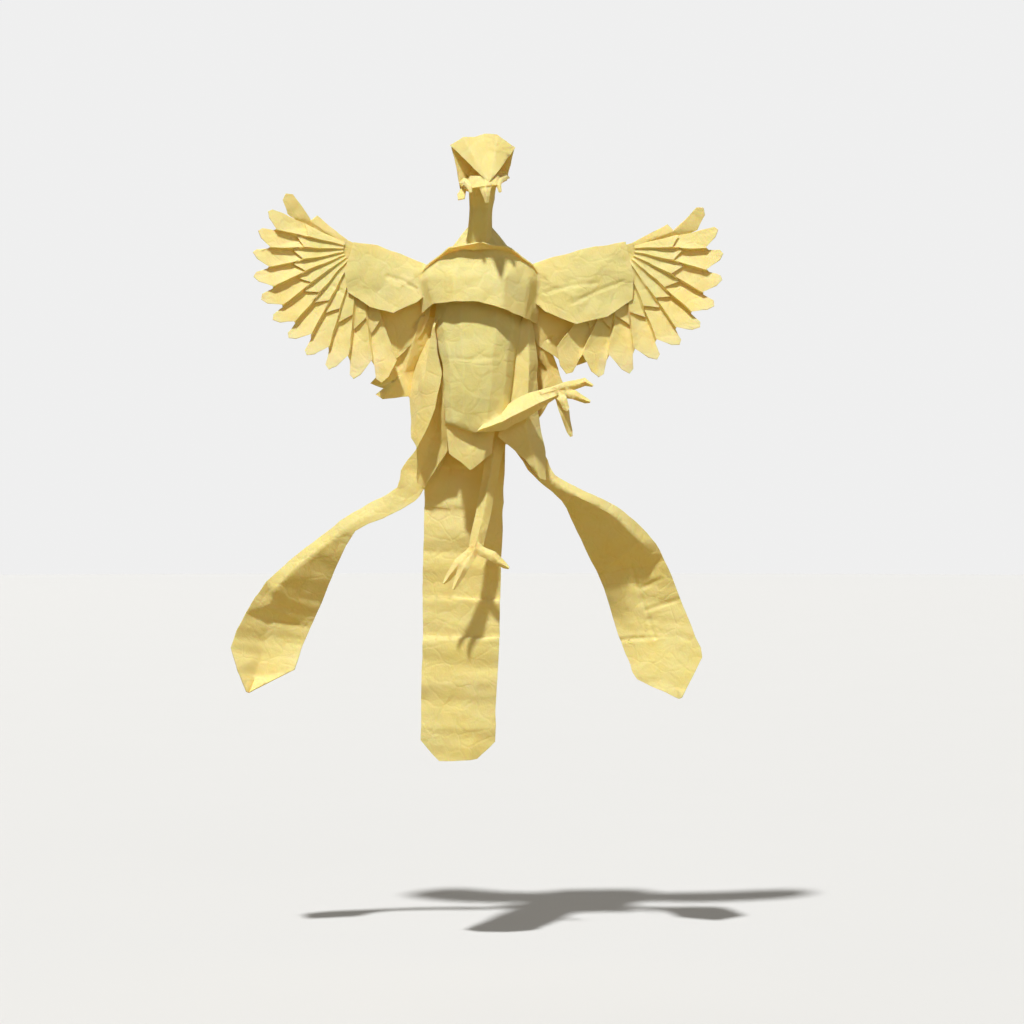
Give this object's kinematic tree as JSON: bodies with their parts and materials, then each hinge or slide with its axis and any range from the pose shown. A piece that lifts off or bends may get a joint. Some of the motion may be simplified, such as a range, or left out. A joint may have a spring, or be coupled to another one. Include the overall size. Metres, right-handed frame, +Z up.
{
  "type": "folded paper long-tailed bird",
  "caption": "Long-tailed crested bird folded from one sheet of pale yellow paper, wings spread, one leg raised, held on a stand by its body.",
  "frame": {"origin": "point in the open lower end of the body, in front of its back plate, where a display stand's rod ends", "axes": "+Z up towards the crest, -Y the way the bird faces, +X to the right of the front view"},
  "size_m": [0.1997, 0.0632, 0.2483],
  "materials": {
    "paper": "matt pale yellow paper with soft creases"
  },
  "bodies": {
    "root": {"folded_bird": "paper"}
  },
  "joints": []
}
